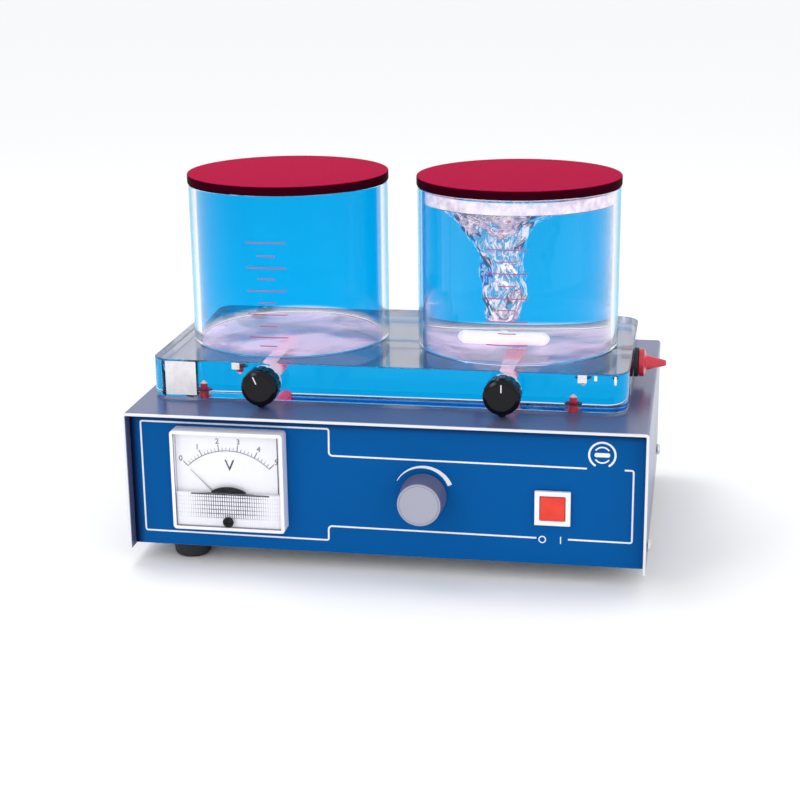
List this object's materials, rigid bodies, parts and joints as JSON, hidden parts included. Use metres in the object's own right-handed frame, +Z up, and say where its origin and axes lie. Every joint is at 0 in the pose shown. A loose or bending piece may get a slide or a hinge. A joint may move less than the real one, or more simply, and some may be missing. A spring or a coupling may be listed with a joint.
{
  "type": "magnetic stirrer",
  "caption": "Bench magnetic stirrer with a voltmeter and speed knob on a blue front panel, carrying a clear acrylic block with lidded cups, valve knobs, a side outlet and a stir bar.",
  "frame": {"origin": "on the surface it stands on, under the middle of the outer box", "axes": "+X to the right seen from the front, +Y to the rear, +Z up"},
  "size_m": [0.2978, 0.2146, 0.2106],
  "materials": {
    "cover_paint": "satin grey enamel",
    "panel_blue": "satin blue enamel with printed white lines",
    "steel": "plated",
    "aluminium": "machined",
    "winding_copper": "varnished copper wire",
    "magnet": "sintered ferrite",
    "black_rubber": "matte",
    "black_plastic": "polished",
    "white_plastic": "satin",
    "grey_plastic": "satin",
    "red_plastic": "satin",
    "button_red": "translucent, polished",
    "lid_red": "polished crimson acrylic",
    "board_green": "lacquered",
    "clear_acrylic": "polished clear acrylic with a cyan cast",
    "clear_cover": "polished clear cover"
  },
  "bodies": {
    "case": {"case_cover": "cover_paint", "base_tray": "steel", "front_panel": "panel_blue", "rear_panel": "cover_paint", "foot_front_left": "black_rubber", "foot_front_right": "black_rubber", "foot_rear_left": "black_rubber", "foot_rear_right": "black_rubber", "foot_screw_front_left": "steel", "foot_screw_front_right": "steel", "foot_screw_rear_left": "steel", "foot_screw_rear_right": "steel", "cover_screw_front_left": "steel", "cover_screw_front_right": "steel", "cover_screw_rear_left": "steel", "cover_screw_rear_right": "steel", "meter_cover": "clear_cover", "meter_mask": "white_plastic", "meter_movement_cap": "black_plastic", "meter_dial": "white_plastic", "meter_body": "black_plastic", "potentiometer": "steel", "potentiometer_nut": "steel", "switch_body": "white_plastic", "motor": "steel", "motor_bracket": "aluminium", "transformer_core": "steel", "transformer_winding": "winding_copper", "circuit_board": "board_green", "mains_inlet": "black_plastic", "fuse_holder": "black_plastic"},
    "speed_control": {"speed_knob": "grey_plastic", "speed_shaft": "steel"},
    "power_button": {"power_button": "button_red"},
    "meter_pointer": {"meter_pointer": "black_plastic"},
    "meter_zero_screw": {"meter_zero_screw": "black_plastic"},
    "fuse_cap": {"fuse_cap": "black_plastic"},
    "magnet_rotor": {"motor_shaft": "steel", "magnet_carrier": "aluminium", "drive_magnet_left": "magnet", "drive_magnet_right": "magnet"},
    "mixer": {"mixer_block": "clear_acrylic", "cup_left": "clear_acrylic", "cup_right": "clear_acrylic", "locating_pin_front_left": "red_plastic", "locating_pin_front_right": "red_plastic", "locating_pin_rear_left": "red_plastic", "locating_pin_rear_right": "red_plastic", "valve_gland_left": "white_plastic", "valve_gland_right": "white_plastic", "outlet_washer": "black_rubber", "outlet_nozzle": "red_plastic"},
    "valve_left": {"valve_knob_left": "black_plastic", "valve_stem_left": "red_plastic"},
    "valve_right": {"valve_knob_right": "black_plastic", "valve_stem_right": "red_plastic"},
    "lid_left": {"lid_left": "lid_red"},
    "lid_right": {"lid_right": "lid_red"},
    "stir_bar": {"stir_bar": "white_plastic"}
  },
  "joints": [
    {"name": "speed_knob_turn", "type": "hinge", "parent": "case", "child": "speed_control", "pos_m": [0.02131, -0.09835, 0.0476], "axis": [0, 1, 0], "range_deg": [0, 270]},
    {"name": "power_button_press", "type": "slide", "parent": "case", "child": "power_button", "axis": [0, 1, 0], "range_m": [0, 0.003], "stiffness_N_per_m": 400},
    {"name": "meter_pointer_swing", "type": "hinge", "parent": "case", "child": "meter_pointer", "pos_m": [-0.08729, -0.09835, 0.0371], "axis": [0, 1, 0], "range_deg": [0, 90], "stiffness_Nm_per_rad": 0.001},
    {"name": "meter_zero_turn", "type": "hinge", "parent": "case", "child": "meter_zero_screw", "pos_m": [-0.08729, -0.09835, 0.0297], "axis": [0, 1, 0], "range_deg": [-30, 30]},
    {"name": "fuse_cap_turn", "type": "hinge", "parent": "case", "child": "fuse_cap", "pos_m": [0.0533, -0.09835, 0.046], "axis": [0, 1, 0], "range_deg": [0, 90]},
    {"name": "rotor_spin", "type": "hinge", "parent": "case", "child": "magnet_rotor", "pos_m": [0.05681, 0.00165, 0], "axis": [0, 0, 1], "continuous": true},
    {"name": "mixer_lift", "type": "slide", "parent": "case", "child": "mixer", "axis": [0, 0, 1], "range_m": [0, 0.05]},
    {"name": "valve_left_turn", "type": "hinge", "parent": "mixer", "child": "valve_left", "pos_m": [-0.07219, -0.09835, 0.1023], "axis": [0, 1, 0], "range_deg": [0, 90]},
    {"name": "valve_right_turn", "type": "hinge", "parent": "mixer", "child": "valve_right", "pos_m": [0.0628, -0.09835, 0.1023], "axis": [0, 1, 0], "range_deg": [0, 90]},
    {"name": "lid_left_lift", "type": "slide", "parent": "mixer", "child": "lid_left", "axis": [0, 0, 1], "range_m": [0, 0.06]},
    {"name": "lid_right_lift", "type": "slide", "parent": "mixer", "child": "lid_right", "axis": [0, 0, 1], "range_m": [0, 0.06]},
    {"name": "stir_bar_spin", "type": "hinge", "parent": "mixer", "child": "stir_bar", "pos_m": [0.05681, 0.00165, 0.1179], "axis": [0, 0, 1], "continuous": true}
  ],
  "couplings": [
    {"joint": "stir_bar_spin", "follows": "rotor_spin", "ratio": 1}
  ]
}
